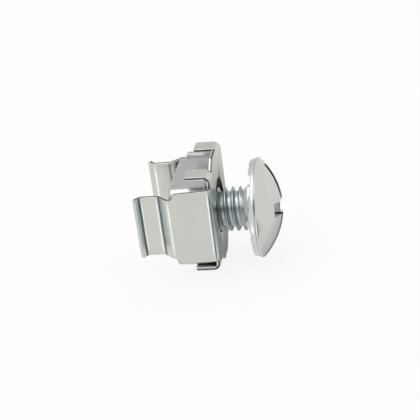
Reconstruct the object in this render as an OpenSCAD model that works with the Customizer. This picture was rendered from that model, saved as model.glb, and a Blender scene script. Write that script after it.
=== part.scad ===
// Rack cage nut with its machine screw.
// A square nut sits loose in a folded spring steel cage, whose two ears clip
// into a square hole in a panel. A screw with a broad, low head runs through
// the hole in the cage's plate and into the nut.
// +X points out of the screw's head, along the screw. +Z is up. The origin is
// on the axis of the plate's hole, in the plane where the panel rests on the
// steps of the ears. Sizes are in millimetres.

/* [Cage sheet] */

// Thickness of the spring steel sheet.
sheet = 0.5; // [0.4:0.05:0.6]
// Inner radius of the tight bends at both ends of a wall.
bend_in = 0.25; // [0.2:0.05:0.4]
// Inner radius of the bends at both ends of an ear.
ear_bend_in = 0.6; // [0.4:0.05:0.7]
// Inner radius of the bends of the four tabs.
tab_bend_in = 0.45; // [0.3:0.05:0.6]

/* [Cage plate and walls] */

// Width of the cage over its two walls, measured at the plate.
cage_w = 12.8; // [12.6:0.1:13.4]
// Angle by which each wall leans outward from the plate.
wall_lean = 4.7; // [3:0.1:6]
// Height of a wall at the plate.
wall_h = 10.15; // [9.8:0.05:10.4]
// Height of a wall at its far end, before it narrows to the ear.
wall_end_h = 9.94; // [9.6:0.02:10.1]
// Diameter of the hole in the plate.
hole_d = 7.4; // [7:0.1:8]

/* [Cage ears] */

// Distance from the plate's outer face to the fold from wall to step.
wall_len = 5.75; // [5.5:0.05:6]
// Distance from the plate's outer face to the fold from step to ear.
step_len = 7.15; // [7:0.05:7.3]
// Distance from the plate's outer face to the fold from ear to lip.
ear_len = 9.35; // [9.2:0.01:9.4]
// Distance from the plate's outer face to the tip of the lip.
lip_len = 9.89; // [9.7:0.01:10.1]
// Width over the two flat ears.
ears_w = 10.9; // [10.6:0.1:11.2]
// Width over the tips of the two lips.
lips_w = 12.34; // [12:0.02:12.6]
// Height of an ear.
ear_h = 8.38; // [8:0.02:8.8]
// Distance from the plate's outer face to the middle of the shoulder between
// the tall wall and the narrower ear.
shoulder_len = 4.9; // [4.6:0.1:5.2]

/* [Cage tabs and stubs] */

// Height over the four tabs that hold the nut in.
tabs_h = 13.45; // [13.4:0.05:13.6]
// Distance from the plate's outer face to the end of a tab.
tab_len = 3.3; // [2.8:0.1:4]
// Width of a tab.
tab_w = 2.5; // [2.2:0.1:2.6]
// Distance from the middle of the cage to the near edge of a tab.
tab_in = 3.15; // [3.1:0.01:3.2]
// Height over the two flat stubs where the sheet was cut from its strip.
stubs_h = 14.8; // [14.4:0.1:15.2]
// Width of a stub at its cut end.
stub_tip_w = 2.8; // [2.4:0.1:3.2]
// Width of a stub at its root.
stub_root_w = 6.1; // [5.8:0.1:6.2]
// Height over the roots of the two stubs, where their sides start to slope.
stub_root_h = 12.6; // [12:0.1:12.8]

/* [Nut] */

// Width of the square nut across its flats.
nut_w = 11.1; // [10.8:0.1:11.1]
// Thickness of the nut.
nut_t = 4.85; // [4.6:0.05:5]
// Radius of the rounded edges round the nut's two faces.
nut_round = 0.5; // [0.2:0.1:0.8]
// Radius of the nut's four corners, seen along the screw.
nut_corner = 1.2; // [0.8:0.1:1.6]
// Gap between the plate and the nut.
nut_gap = 0.4; // [0.3:0.1:0.6]

/* [Screw] */

// Outer diameter of the thread.
thread_d = 5.92; // [5.8:0.01:5.97]
// Distance from one thread crest to the next.
pitch = 1; // [0.75:0.25:1]
// Depth of the thread.
thread_depth = 0.56; // [0.4:0.02:0.6]
// Free run of the thread in the nut, measured on the radius.
thread_clear = 0.04; // [0.02:0.01:0.08]
// Plain part of the shank next to the head, in turns of the thread.
thread_end = 0.35; // [0.2:0.05:0.6]
// Length of the screw below its head.
screw_len = 10.1; // [10:0.05:10.3]
// Distance from the plate's outer face to the underside of the head.
head_gap = 4.45; // [4.2:0.05:4.8]

/* [Screw head] */

// Diameter of the head at its widest.
head_d = 13.3; // [13:0.1:13.6]
// Height of the head from its underside to the top of its dome.
head_h = 3.85; // [3.6:0.05:4.2]
// Radius of the dome, as a ball.
dome_r = 9.24; // [8.8:0.02:9.6]
// Radius of the round rim between the flange's side and the dome.
rim_round = 0.6; // [0.4:0.1:0.8]
// How far the underside's edge is set in from the widest part of the head.
flange_taper = 0.28; // [0.2:0.02:0.4]
// Number of teeth under the flange.
teeth = 24; // [18:2:30]
// Depth of the grooves between the teeth.
tooth_depth = 0.16; // [0.1:0.02:0.2]
// Width of the grooves between the teeth.
tooth_gap = 0.9; // [0.6:0.1:1.1]
// Distance from the screw's axis to the inner end of the teeth.
teeth_in_r = 4.4; // [4:0.1:5]
// Angle by which the screw is turned in the nut.
head_turn = 73; // [0:1:90]

/* [Screw drive] */

// Width of the slot across the head.
slot_w = 1.6; // [1.2:0.1:2]
// Depth of the slot below the top of the dome.
slot_depth = 2; // [1.6:0.1:2.4]
// Length of one pair of arms of the cross recess.
cross_l = 7.2; // [6.4:0.1:7.6]
// Width of an arm of the cross recess.
cross_w = 1.8; // [1.2:0.1:2.1]
// Depth of the cross recess below the top of the dome.
cross_depth = 2.6; // [2.2:0.1:2.8]
// Depth to which the end of an arm goes straight down.
cross_edge_depth = 0.9; // [0.8:0.1:1.2]
// How far the end of an arm leans in below that.
cross_slope = 1; // [0.6:0.1:1.4]
// Depth at the foot of an arm's leaning end.
cross_end_depth = 1.8; // [1.4:0.1:2.2]

/* [Hidden] */

$fn = 96;
zinc = [0.78, 0.79, 0.78];
nut_zinc = [0.7, 0.71, 0.71];
eps = 0.01;

// The walls and ears.
wall_turn = 90 - wall_lean;
bend_out = bend_in + sheet;
plate_run = cage_w / 2 - bend_out * sin(wall_turn);
bend_end_x = bend_out * (1 - cos(wall_turn));
wall_end_y = cage_w / 2 + (wall_len - bend_end_x) * tan(wall_lean);
step_turn = atan2(wall_end_y - ears_w / 2, step_len - wall_len);
lip_turn = atan2(lips_w / 2 - ears_w / 2, lip_len - ear_len);
wall_run = (wall_len - bend_end_x) / cos(wall_lean)
    - setback(bend_out, step_turn + wall_lean);
step_run = (step_len - wall_len) / cos(step_turn)
    - setback(bend_out, step_turn + wall_lean)
    - setback(ear_bend_in, step_turn);
ear_run = ear_len - step_len
    - setback(ear_bend_in, step_turn)
    - setback(ear_bend_in, lip_turn);
lip_run = (lip_len - ear_len) / cos(lip_turn)
    - setback(ear_bend_in, lip_turn);

// The side outline of a wall and its ear.
shoulder_r = (wall_end_h - ear_h) / 4;
outline_end = lip_len + 1;

// The tabs.
tab_out_r = tab_bend_in + sheet;
tab_bend_z = tabs_h / 2 - tab_out_r;
tab_leg = tab_len - tab_out_r;

// The folds from the plate's middle to a lip, and to the end of a tab.
fold_steps = 8;
wall_folds = [
    [plate_run, wall_turn, bend_in],
    [wall_run, step_turn + wall_lean, bend_in],
    [step_run, -step_turn, ear_bend_in],
    [ear_run, -lip_turn, ear_bend_in],
    [lip_run, 0, 0]
];
tab_folds = [
    [tab_bend_z, 90, tab_bend_in],
    [tab_leg, 0, 0]
];

// The nut rests on the two lower tabs.
nut_z = nut_w / 2 + sheet - tabs_h / 2;
nut_x = -sheet - nut_gap - nut_t;

// The screw.
thread_r = thread_d / 2;
root_r = thread_r - thread_depth;
head_r = head_d / 2;
rim_r = head_r - rim_round;
dome_z = head_h - dome_r;
rim_z = dome_z + sqrt(pow(dome_r - rim_round, 2) - rim_r * rim_r);
rim_turn = atan2(rim_z - dome_z, rim_r);
rim_steps = 5;
dome_steps = 16;
tip_chamfer = 0.35;
over_cut = 0.5;

// Distance between a fold's corner and the start of its bend.
function setback(radius, turn) = radius * tan(turn / 2);

// The corners of one edge of a folded strip, from its start to its end. A row
// of folds holds a straight length, the turn after it and that turn's inner
// radius. The strip lies to the left of offset 0 and is one sheet thick.
function strip_edge(folds, offset, i = 0, pos = [0, 0], heading = 0) =
    let (
        end = pos + folds[i][0] * [cos(heading), sin(heading)],
        turn = folds[i][1],
        inner = folds[i][2],
        hand = turn > 0 ? 1 : -1,
        base_r = turn > 0 ? inner + sheet : inner,
        edge_r = base_r - hand * offset,
        left = [-sin(heading), cos(heading)],
        centre = end + hand * base_r * left,
        after = heading + turn
    )
    turn == 0 ? [end + offset * left] : concat(
        [for (k = [0 : fold_steps])
            let (at = heading + turn * k / fold_steps)
            centre + hand * edge_r * [sin(at), -cos(at)]],
        strip_edge(folds, offset, i + 1,
                   centre + hand * base_r * [sin(after), -cos(after)], after)
    );

// The order of a list turned round.
function reversed(list) = [for (i = [len(list) - 1 : -1 : 0]) list[i]];

// The cut through a folded strip, whose first run goes along +Y with the
// outside of the sheet at X = 0.
module strip_profile(folds) {
    rotate(90)
        polygon(concat(
            [[-1, sheet], [-1, 0]],
            strip_edge(folds, 0),
            reversed(strip_edge(folds, sheet))
        ));
}

// The side outline of the walls and ears: tall at the plate, then a rounded
// shoulder down to the height of the ears.
module side_outline() {
    shoulder_start = shoulder_len - shoulder_r;
    polygon([
        [eps, wall_h / 2],
        [-shoulder_start, wall_end_h / 2],
        [-shoulder_start, -wall_end_h / 2],
        [eps, -wall_h / 2]
    ]);
    translate([-outline_end, -ear_h / 2]) square([outline_end, ear_h]);
    for (side = [-1, 1]) {
        translate([-shoulder_start, side * (wall_end_h / 2 - shoulder_r)]) {
            intersection() {
                circle(r = shoulder_r);
                translate([-shoulder_r, side > 0 ? -eps : -shoulder_r])
                    square([shoulder_r, shoulder_r + eps]);
            }
        }
        translate([-shoulder_start - 2 * shoulder_r, side * ear_h / 2]) {
            difference() {
                translate([0, side > 0 ? -eps : -shoulder_r])
                    square([2 * shoulder_r, shoulder_r + eps]);
                translate([0, side * shoulder_r]) circle(r = shoulder_r);
            }
        }
    }
}

// The walls, ears and lips with the middle band of the plate.
module folded_band() {
    intersection() {
        linear_extrude(height = wall_h + 2, center = true) {
            strip_profile(wall_folds);
            mirror([0, 1]) strip_profile(wall_folds);
        }
        rotate([90, 0, 0])
            linear_extrude(height = lips_w + 4, center = true) side_outline();
    }
}

// One tab: up from the plate, round its bend and back along the nut.
module tab() {
    rotate([90, 0, 0])
        linear_extrude(height = tab_w, center = true)
            strip_profile(tab_folds);
}

// The flat stub between two tabs, in the plane of the plate.
module stub() {
    translate([-sheet, 0, 0])
        rotate([90, 0, 90])
            linear_extrude(height = sheet)
                polygon([
                    [-tab_in, 0],
                    [-tab_in, tab_bend_z],
                    [-stub_root_w / 2, tab_bend_z],
                    [-stub_root_w / 2, stub_root_h / 2],
                    [-stub_tip_w / 2, stubs_h / 2],
                    [stub_tip_w / 2, stubs_h / 2],
                    [stub_root_w / 2, stub_root_h / 2],
                    [stub_root_w / 2, tab_bend_z],
                    [tab_in, tab_bend_z],
                    [tab_in, 0]
                ]);
}

module cage() {
    color(zinc)
    translate([step_len, 0, 0])
    difference() {
        union() {
            folded_band();
            for (flip = [0, 1]) {
                mirror([0, 0, flip]) {
                    stub();
                    for (side = [-1, 1]) {
                        translate([0, side * (tab_in + tab_w / 2), 0]) tab();
                    }
                }
            }
        }
        rotate([0, 90, 0]) cylinder(d = hole_d, h = 3 * sheet, center = true);
    }
}

// A square with rounded corners, centred on the origin.
module rounded_square(width, height, radius) {
    square([width - 2 * radius, height], center = true);
    square([width, height - 2 * radius], center = true);
    for (x = [-1, 1]) {
        for (y = [-1, 1]) {
            translate([x * (width / 2 - radius), y * (height / 2 - radius)])
                circle(r = radius);
        }
    }
}

module square_nut() {
    color(nut_zinc)
    translate([step_len + nut_x + nut_t / 2, 0, nut_z])
    difference() {
        intersection() {
            rotate([0, 90, 0])
                linear_extrude(height = nut_t, center = true)
                    rounded_square(nut_w, nut_w, nut_corner);
            rotate([90, 0, 0])
                linear_extrude(height = nut_w, center = true)
                    rounded_square(nut_t, nut_w, nut_round);
            linear_extrude(height = nut_w, center = true)
                rounded_square(nut_t, nut_w, nut_round);
        }
        rotate([0, 90, 0])
            cylinder(r = thread_r + thread_clear, h = nut_t * 2, center = true);
    }
}

// The threaded shank, as a row of sharp crests and flat roots.
module shank() {
    crest = pitch / 8;
    flank = pitch * 5 / 16;
    turns = floor((screw_len - tip_chamfer) / pitch);
    rotate_extrude()
        polygon([
            [0, -screw_len],
            [thread_r - tip_chamfer, -screw_len],
            [thread_r, -screw_len + tip_chamfer],
            for (turn = [1 : turns])
                each thread_turn(turn - turns - 1 - thread_end, crest, flank),
            [thread_r, 0],
            [thread_r, eps],
            [0, eps]
        ]);
}

// The corners of one turn of the thread, from below.
function thread_turn(at, crest, flank) = [
    [thread_r, at * pitch],
    [root_r, at * pitch + flank],
    [root_r, at * pitch + pitch - crest - flank],
    [thread_r, at * pitch + pitch - crest]
];

// Points on an arc, without its first one.
function arc_points(centre, radius, from, to, steps) = [
    for (k = [1 : steps])
        let (at = from + (to - from) * k / steps)
        centre + radius * [cos(at), sin(at)]
];

// The low dome with its round rim, and teeth cut into the underside.
module head_body() {
    difference() {
        rotate_extrude()
            polygon(concat(
                [[0, 0], [head_r - flange_taper, 0], [head_r, rim_z]],
                arc_points([rim_r, rim_z], rim_round, 0, rim_turn, rim_steps),
                arc_points([0, dome_z], dome_r, rim_turn, 90, dome_steps)
            ));
        for (i = [0 : teeth - 1]) {
            rotate(i * 360 / teeth)
                translate([teeth_in_r, 0, 0])
                    rotate([90, 0, 90])
                        linear_extrude(height = head_r)
                            polygon([
                                [-tooth_gap, -tooth_depth],
                                [tooth_gap, -tooth_depth],
                                [0, tooth_depth]
                            ]);
        }
    }
}

// The slot right across the head and the deeper cross in its middle.
module drive() {
    translate([-slot_w / 2, -head_d, head_h - slot_depth])
        cube([slot_w, 2 * head_d, slot_depth + over_cut]);
    for (turn = [0, 90]) {
        rotate(turn)
            rotate([90, 0, 0])
                linear_extrude(height = cross_w, center = true)
                    polygon([
                        [-cross_l / 2, head_h + over_cut],
                        [-cross_l / 2, head_h - cross_edge_depth],
                        [-cross_l / 2 + cross_slope, head_h - cross_end_depth],
                        [0, head_h - cross_depth],
                        [cross_l / 2 - cross_slope, head_h - cross_end_depth],
                        [cross_l / 2, head_h - cross_edge_depth],
                        [cross_l / 2, head_h + over_cut]
                    ]);
    }
}

module screw() {
    color(zinc)
    translate([step_len + head_gap, 0, nut_z])
    rotate([0, 90, 0])
    rotate(head_turn) {
        shank();
        difference() {
            head_body();
            drive();
        }
    }
}

cage();
square_nut();
screw();
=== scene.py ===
"""Finishes a rack cage nut with its screw: the folded spring steel cage, the
square nut loose in it, and the low-headed screw that runs into the nut.

Lengths are worked out in millimetres, in the CAD frame: +X out of the screw's
head, +Z up. Each mesh is brought to metres when it is made."""

import math

import bmesh
import bpy
from bpy.props import (
    FloatProperty,
    FloatVectorProperty,
    IntProperty,
    PointerProperty,
)
from mathutils import Matrix, Vector


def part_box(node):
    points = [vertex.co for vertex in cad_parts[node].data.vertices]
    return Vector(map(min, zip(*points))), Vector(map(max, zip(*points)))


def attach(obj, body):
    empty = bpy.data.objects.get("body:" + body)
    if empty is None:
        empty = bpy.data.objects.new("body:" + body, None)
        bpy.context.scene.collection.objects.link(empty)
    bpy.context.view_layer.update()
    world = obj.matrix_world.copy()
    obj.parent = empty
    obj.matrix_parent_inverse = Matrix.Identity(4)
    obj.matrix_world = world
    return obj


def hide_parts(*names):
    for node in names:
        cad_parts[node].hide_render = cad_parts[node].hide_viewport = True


bl_info = {
    "name": "Rack cage nut",
    "version": (1, 0, 0),
    "blender": (4, 5, 0),
    "location": "3D View > Sidebar > Cage nut",
    "description": "Makes the finished pieces of a rack cage nut and its stage",
    "category": "Object",
}

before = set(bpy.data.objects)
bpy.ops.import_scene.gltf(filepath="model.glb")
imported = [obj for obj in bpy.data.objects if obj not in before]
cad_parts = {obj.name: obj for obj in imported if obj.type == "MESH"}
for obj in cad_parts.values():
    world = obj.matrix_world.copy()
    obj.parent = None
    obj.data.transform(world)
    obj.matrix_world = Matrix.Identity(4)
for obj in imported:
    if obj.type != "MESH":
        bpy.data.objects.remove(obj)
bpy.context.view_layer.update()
CAGE_LOW, CAGE_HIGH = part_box("cage")
NUT_LOW, NUT_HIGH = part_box("square_nut")
SCREW_LOW, SCREW_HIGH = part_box("screw")

MM = 0.001
ROOT = "root"
AXIS_HEIGHT = (NUT_LOW.z + NUT_HIGH.z) / 2.0
QUARTER = math.pi / 2.0

# Points of a mesh that are nearer than this are one, in metres. Points of a
# profile that are nearer to the axis than this lie on it, in millimetres.
MERGE = 1e-7
ON_AXIS = 1e-9

# How finely the round forms are cut.
BEND_STEPS = 12
ROUND_STEPS = 96
HEAD_STEPS = 192
CORNER_STEPS = 10

# How much more a large face's normal counts than a small one's.
FLAT_WEIGHT = 100

# For each piece: the CAD node that it stands for, its material slot, and the
# angle over which its edges stay sharp, in degrees.
PIECES = {
    "folded_cage": ("cage", "spring_steel_zinc", 50.0),
    "square_nut_body": ("square_nut", "nut_zinc", 40.0),
    "screw_head": ("screw", "screw_zinc", 34.0),
    "screw_teeth": ("screw", "screw_zinc", 60.0),
    "screw_shank": ("screw", "screw_zinc", 40.0),
    "screw_neck": ("screw", "screw_zinc", 40.0),
    "screw_thread": ("screw", "screw_zinc", 25.0),
}


# ---------------------------------------------------------------- settings

def length(name, what, value_mm):
    """A size that is shown in the file's length unit."""
    return FloatProperty(
        name=name, description=what, default=value_mm * MM,
        unit="LENGTH", precision=6,
    )


def colour(name, what, value):
    """A plain colour setting."""
    return FloatVectorProperty(
        name=name, description=what, default=value,
        subtype="COLOR", size=3, min=0.0, max=1.0,
    )


def angle(name, what, degrees):
    """An angle setting."""
    return FloatProperty(
        name=name, description=what, default=math.radians(degrees),
        subtype="ANGLE",
    )


class CageSizes(bpy.types.PropertyGroup):
    """Sizes of the folded sheet"""

    sheet: length("Sheet", "Thickness of the spring steel", 0.5)
    bend_in: length("Bend", "Inner radius of the tight bends", 0.25)
    ear_bend_in: length("Ear bend", "Inner radius of the ears' bends", 0.6)
    tab_bend_in: length("Tab bend", "Inner radius of the tabs' bends", 0.45)
    plate_w: length("Width", "Width over the walls, at the plate", 12.8)
    wall_lean: angle("Lean", "How far a wall leans outward", 4.7)
    wall_h: length("Wall height", "Height of a wall at the plate", 10.15)
    wall_end_h: length("Wall end", "Height of a wall at its shoulder", 9.94)
    wall_len: length("Wall", "From the plate to the fold into the step", 5.75)
    step_len: length("Step", "From the plate to the fold into the ear", 7.15)
    ear_len: length("Ear", "From the plate to the fold into the lip", 9.35)
    lip_len: length("Lip", "From the plate to the tip of the lip", 9.89)
    ears_w: length("Over ears", "Width over the two flat ears", 10.9)
    lips_w: length("Over lips", "Width over the tips of the lips", 12.34)
    ear_h: length("Ear height", "Height of an ear", 8.38)
    shoulder_len: length("Shoulder", "From the plate to the shoulder", 4.9)
    tabs_h: length("Over tabs", "Height over the four tabs", 13.45)
    tab_len: length("Tab", "From the plate to the end of a tab", 3.3)
    tab_in: length("Tab inside", "From the middle to a tab's near edge", 3.15)
    stub_tip_w: length("Stub tip", "Width of a stub at its cut end", 2.8)
    stub_root_w: length("Stub root", "Width of a stub at its root", 6.1)
    stub_root_h: length("Stub roots", "Height over the roots of the stubs", 12.6)
    hole_d: length("Hole", "Diameter of the hole in the plate", 7.4)
    edge: length("Edge", "How much a cut edge is rounded", 0.06)


class NutSizes(bpy.types.PropertyGroup):
    """Sizes of the square nut"""

    edge: length("Edge", "Radius of the edges round the two faces", 0.5)
    corner: length("Corner", "Radius of the four corners", 1.2)
    bore_d: length("Bore", "Diameter of the threaded bore", 6.0)
    mouth: length("Mouth", "Width of the chamfer round the bore", 0.6)


class ScrewSizes(bpy.types.PropertyGroup):
    """Sizes of the screw"""

    thread_d: length("Thread", "Outer diameter of the thread", 5.92)
    pitch: length("Pitch", "From one crest to the next", 1.0)
    thread_depth: length("Depth", "Depth of the thread", 0.62)
    thread_turn: angle("Start", "Where the thread starts round the screw", 50.0)
    dome_r: length("Dome", "Radius of the dome, as a ball", 9.24)
    rim_round: length("Rim", "Radius of the round rim of the dome", 0.5)
    crease: length("Crease", "Depth of the crease between flange and dome", 0.13)
    crease_h: length("Crease height", "Height of the crease on the head", 0.76)
    neck: length("Neck", "Length of the plain neck under the head", 1.35)
    taper: length("Taper", "How far the underside is set in", 0.28)
    teeth: IntProperty(
        name="Teeth", description="Teeth under the flange", default=24, min=3,
    )
    tooth_h: length("Tooth", "Height of a tooth", 0.16)
    tooth_in: length("Teeth inside", "Radius at the inner end of a tooth", 4.4)
    turn: angle("Turn", "How far the screw is turned in the nut", 73.0)
    slot_w: length("Slot", "Width of the slot across the head", 1.6)
    slot_depth: length("Slot depth", "Depth of the slot in the middle", 2.0)
    cross_l: length("Cross", "Length over one pair of arms", 7.2)
    cross_w: length("Arm", "Width of an arm of the cross", 1.8)
    cross_depth: length("Cross depth", "Depth of the cross", 2.6)


class FinishColours(bpy.types.PropertyGroup):
    """Colours of the plated steel and of the floor"""

    sheet: colour("Cage", "Zinc on the rolled sheet", (0.785, 0.81, 0.805))
    nut: colour("Nut", "Zinc on the nut", (0.67, 0.70, 0.72))
    screw: colour("Screw", "Zinc on the screw", (0.82, 0.84, 0.845))
    # Painted shade: the screw's zinc, drawn darker and bluer on the thread for the
    # shade in its grooves.
    thread: colour("Thread", "Zinc on the rolled thread", (0.54, 0.605, 0.63))
    # Painted shade: the screw's zinc, drawn darker in the slot, the cross and the
    # crease under the rim.
    drive: colour("Drive", "Zinc inside the slot and cross", (0.42, 0.48, 0.50))
    # Painted shade: the nut's zinc, drawn darker in its bore and the bore's mouth.
    bore: colour("Bore", "Inside of the nut's bore", (0.30, 0.32, 0.33))
    cut: colour("Cut edge", "Sheared edge of the sheet", (0.12, 0.125, 0.13))
    # Painted shade: the dark bluish colour drawn into the hollow of each fold of the
    # sheet.
    fold: colour("Fold", "Zinc that settled in a fold", (0.11, 0.22, 0.28))
    floor: colour("Floor", "Floor and backdrop", (1.0, 1.0, 1.0))


class StageSizes(bpy.types.PropertyGroup):
    """Camera, lamp and floor"""

    aim_x: length("Aim X", "Point that the camera looks at", 5.73)
    aim_y: length("Aim Y", "Point that the camera looks at", -0.50)
    aim_z: length("Aim Z", "Point that the camera looks at", -0.48)
    distance: length("Distance", "From the camera to that point", 148.47)
    around: angle("Around", "How far the camera stands round to +X", 10.64)
    above: angle("Above", "How far the camera looks down", 26.05)
    roll: angle("Roll", "How far the camera leans to the right", 7.57)
    lens: FloatProperty(
        name="Lens", description="Focal length on a 36 mm wide sensor",
        default=96.1, unit="CAMERA",
    )
    floor_gap: length("Floor gap", "From the floor up to the part", 1.0)
    floor_w: length("Floor width", "Length of a side of the floor", 1200.0)
    lamp_x: length("Lamp X", "Place of the lamp along the screw", -50.0)
    lamp_h: length("Lamp height", "Height of the lamp over the part", 300.0)
    lamp_w: length("Lamp width", "Length of a side of the lamp", 120.0)
    lamp: FloatProperty(
        name="Lamp", description="Power of the lamp", default=0.08,
        unit="POWER",
    )


class CageNutSettings(bpy.types.PropertyGroup):
    """Everything that can be set"""

    cage: PointerProperty(type=CageSizes)
    nut: PointerProperty(type=NutSizes)
    screw: PointerProperty(type=ScrewSizes)
    finish: PointerProperty(type=FinishColours)
    stage: PointerProperty(type=StageSizes)


def mm(value):
    """A setting in millimetres."""
    return value / MM


# ------------------------------------------------------------ mesh helpers

def new_object(name, data):
    """A new object in the scene."""
    obj = bpy.data.objects.new(name, data)
    bpy.context.scene.collection.objects.link(obj)
    return obj


def mesh_object(name, points, faces, places=()):
    """A new object from points in millimetres. Places holds the number of
    the material of each face, where it isn't the first."""
    mesh = bpy.data.meshes.new(name)
    mesh.from_pydata([Vector(p) * MM for p in points], [], faces)
    for face, place in zip(mesh.polygons, places):
        face.material_index = place
    mesh.validate()
    mesh.update()
    return new_object(name, mesh)


def outward(obj):
    """Turns all faces of a closed mesh outward and merges doubled points."""
    shape = bmesh.new()
    shape.from_mesh(obj.data)
    bmesh.ops.remove_doubles(shape, verts=shape.verts, dist=MERGE)
    bmesh.ops.recalc_face_normals(shape, faces=shape.faces)
    shape.to_mesh(obj.data)
    shape.free()


def bake(obj):
    """Replaces the object's mesh by what its modifiers make of it."""
    graph = bpy.context.evaluated_depsgraph_get()
    result = bpy.data.meshes.new_from_object(obj.evaluated_get(graph))
    old = obj.data
    obj.modifiers.clear()
    obj.data = result
    bpy.data.meshes.remove(old)
    result.name = obj.name


def smooth(obj, limit):
    """Smooth shading, with edges over the limit kept sharp and the normals of
    large faces kept flat."""
    for face in obj.data.polygons:
        face.use_smooth = True
    obj.data.set_sharp_from_angle(angle=math.radians(limit))
    weigh = obj.modifiers.new("Flat faces", "WEIGHTED_NORMAL")
    weigh.keep_sharp = True
    weigh.weight = FLAT_WEIGHT
    bake(obj)


def soften(obj, width, segments, limit):
    """Rounds the edges that are sharper than the limit."""
    rounding = obj.modifiers.new("Rounded edges", "BEVEL")
    rounding.width = width
    rounding.segments = segments
    rounding.limit_method = "ANGLE"
    rounding.angle_limit = math.radians(limit)
    bake(obj)


def cut(obj, tool):
    """Takes the tool's volume out of the object and deletes the tool."""
    modifier = obj.modifiers.new("Cut", "BOOLEAN")
    modifier.operation = "DIFFERENCE"
    modifier.solver = "EXACT"
    modifier.object = tool
    bake(obj)
    mesh = tool.data
    bpy.data.objects.remove(tool)
    bpy.data.meshes.remove(mesh)


def on_axis(unit):
    """The place of something made about +Z at the origin: on the axis of the
    nut and the screw, its heights along +X. Unit is the length of its unit."""
    middle = Matrix.Translation((0.0, 0.0, AXIS_HEIGHT / unit))
    return middle @ Matrix.Rotation(QUARTER, 4, "Y")


def lathe(name, profile, steps):
    """Turns a closed (radius, height) profile round the screw's axis. Its
    heights are distances along +X."""
    place = on_axis(MM)
    points = []
    faces = []
    count = len(profile)
    for i in range(steps):
        at = 2.0 * math.pi * i / steps
        for radius, height in profile:
            point = Vector((radius * math.cos(at), radius * math.sin(at), height))
            points.append(place @ point)
    for i in range(steps):
        j = (i + 1) % steps
        for k in range(count):
            m = (k + 1) % count
            if profile[k][0] < ON_AXIS and profile[m][0] < ON_AXIS:
                continue
            faces.append((
                i * count + k, i * count + m, j * count + m, j * count + k,
            ))
    obj = mesh_object(name, points, faces)
    outward(obj)
    return obj


def arc(centre, radius, start, end, steps):
    """Points on an arc, its angles in degrees."""
    points = []
    for i in range(steps + 1):
        at = math.radians(start + (end - start) * i / steps)
        points.append((
            centre[0] + radius * math.cos(at),
            centre[1] + radius * math.sin(at),
        ))
    return points


def prism_sides(count):
    """The faces round a prism whose ends have that many points each."""
    faces = []
    for i in range(count):
        j = (i + 1) % count
        faces.append([i, j, j + count, i + count])
    return faces


def finish_piece(obj, *metals):
    """Gives a piece its metals, smooths it and hands it to the frame."""
    node, slot_name, limit = PIECES[obj.name]
    for metal in metals:
        obj.data.materials.append(metal)
    smooth(obj, limit)
    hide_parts(node)
    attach(obj, ROOT)


# ------------------------------------------------------------ node helpers

def fresh_tree(owner):
    """The empty node tree of a new material or world."""
    owner.use_nodes = True
    owner.node_tree.nodes.clear()
    return owner.node_tree


def feed(tree, socket, value):
    """Gives an input a value, or links it to the output that is given."""
    if isinstance(value, bpy.types.NodeSocket):
        tree.links.new(value, socket)
    else:
        socket.default_value = value


def add(tree, kind, **values):
    """A new node. Each value goes to the input or the property of that name."""
    node = tree.nodes.new(kind)
    for key, value in values.items():
        name = key.replace("_", " ")
        if name in node.inputs:
            feed(tree, node.inputs[name], value)
        else:
            setattr(node, key, value)
    return node


def worked_out(tree, operation, first, second):
    """The result of a Math node."""
    node = add(tree, "ShaderNodeMath", operation=operation)
    feed(tree, node.inputs[0], first)
    feed(tree, node.inputs[1], second)
    return node.outputs[0]


def two_colours(tree, share, first, second):
    """The first colour where the share is 0, and the second where it is 1."""
    node = add(tree, "ShaderNodeMix", data_type="RGBA", Factor=share)
    # The node's colours stand after its numbers and vectors.
    feed(tree, node.inputs[6], first)
    feed(tree, node.inputs[7], second)
    return node.outputs[2]


def two_shaders(tree, share, first, second):
    """The first shader where the share is 0, and the second where it is 1."""
    node = add(tree, "ShaderNodeMixShader", Fac=share)
    feed(tree, node.inputs[1], first)
    feed(tree, node.inputs[2], second)
    return node.outputs["Shader"]


# --------------------------------------------------------------- materials

# The value on a mesh's points that says how much painted shade darkens the plating
# there, in the hollow of a fold.
FOLD_SHADE = "fold_shade"

# The height of the bumps in the grain, in metres.
GRAIN_HEIGHT = 0.00002

# How each finish looks beside its colour: the roughness, the strength and
# fineness of its grain, how the grain is drawn out along each axis, and how
# much the plate's grey varies from place to place.
EVEN = (1.0, 1.0, 1.0)
ROLLED = (1.0, 1.0, 0.12)
FINISHES = {
    "sheet": ("Zinc on rolled sheet", 0.24, 0.12, 2600.0, ROLLED, 0.05),
    "nut": ("Zinc on pressed nut", 0.30, 0.35, 1500.0, EVEN, 0.10),
    # The bore's zinc is drawn darker as painted shade.
    "bore": ("Threaded bore", 0.35, 0.2, 1500.0, EVEN, 0.10),
    "screw": ("Zinc on headed screw", 0.24, 0.2, 1800.0, EVEN, 0.05),
    # The thread's zinc is drawn darker and bluer as painted shade of its grooves.
    "thread": ("Zinc on rolled thread", 0.30, 0.2, 1800.0, EVEN, 0.12),
    # The drive's zinc is drawn darker as painted shade in the recess and the crease.
    "drive": ("Zinc in the drive", 0.25, 0.2, 1800.0, EVEN, 0.05),
}

# How far the grain takes the roughness under and over its plain value.
POLISHED = 0.05
MATT = 0.07

# How many finer layers the clouds and tears have, and how many the grain has.
CLOUD_DETAIL = 3.0
GRAIN_DETAIL = 4.0

# Clouds in the plate's grey: their scale, and where in them it is darkest
# and lightest.
CLOUD_SCALE = 420.0
CLOUD_ENDS = (0.3, 0.7)

# The sheared edge: the scale of its tears, where in them it is darkest and
# lightest, its colour there as a share, its roughness and its grain.
TEAR_SCALE = 6000.0
TEAR_ENDS = (0.35, 0.75)
TEAR_SHARES = (0.25, 2.2)
TEAR_ROUGH = 0.42
TEAR_GRAIN = 0.5


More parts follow.
